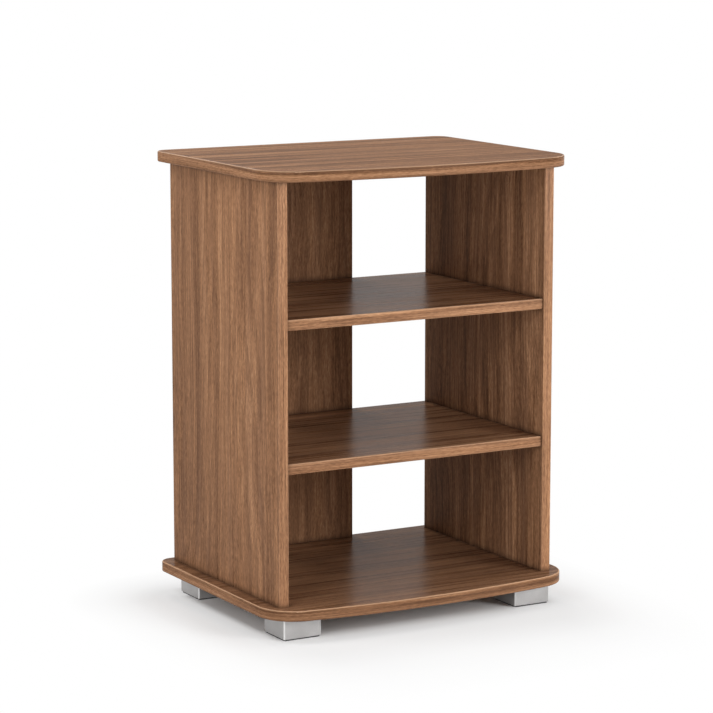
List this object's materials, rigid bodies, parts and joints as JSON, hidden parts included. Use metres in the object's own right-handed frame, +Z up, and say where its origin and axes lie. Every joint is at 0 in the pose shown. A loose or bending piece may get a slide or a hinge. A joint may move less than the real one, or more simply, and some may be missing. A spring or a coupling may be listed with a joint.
{
  "type": "tv cabinet",
  "caption": "Open-fronted media stand: bow-fronted top and base, plain uprights, fixed shelves, a slim back panel and square feet, in walnut-look board.",
  "frame": {"origin": "on the floor, under the middle of the overall width and depth", "axes": "+Z up, +X to the right seen from the front, the open front faces -Y"},
  "size_m": [0.578, 0.4599, 0.773],
  "materials": {
    "faced_board": "satin walnut-look facing",
    "edge_band": "satin walnut-look edging",
    "foot_shell": "satin silver lacquer",
    "glide_pad": "matt dark pad",
    "dowel_wood": "plain turned beech",
    "cam_zinc": "dull die-cast metal",
    "cam_cap": "matt brown cover",
    "fastener_steel": "zinc plated"
  },
  "bodies": {
    "root": {"top_panel": "faced_board", "base_panel": "faced_board", "left_side_panel": "faced_board", "right_side_panel": "faced_board", "upper_shelf": "faced_board", "lower_shelf": "faced_board", "back_panel": "faced_board", "top_edge_band": "edge_band", "base_edge_band": "edge_band", "left_side_front_band": "edge_band", "left_side_rear_band": "edge_band", "right_side_front_band": "edge_band", "right_side_rear_band": "edge_band", "upper_shelf_front_band": "edge_band", "upper_shelf_rear_band": "edge_band", "lower_shelf_front_band": "edge_band", "lower_shelf_rear_band": "edge_band", "back_panel_left_band": "edge_band", "back_panel_right_band": "edge_band", "front_left_foot": "foot_shell", "front_right_foot": "foot_shell", "rear_left_foot": "foot_shell", "rear_right_foot": "foot_shell", "front_left_glide": "glide_pad", "front_right_glide": "glide_pad", "rear_left_glide": "glide_pad", "rear_right_glide": "glide_pad", "top_dowels": "dowel_wood", "base_dowels": "dowel_wood", "shelf_dowels": "dowel_wood", "back_panel_dowels": "dowel_wood", "top_cam_locks": "cam_zinc", "shelf_cam_locks": "cam_zinc", "top_cam_caps": "cam_cap", "shelf_cam_caps": "cam_cap", "top_cam_bolts": "fastener_steel", "shelf_cam_bolts": "fastener_steel", "base_screws": "fastener_steel", "back_panel_screws": "fastener_steel", "foot_screws": "fastener_steel"}
  },
  "joints": []
}
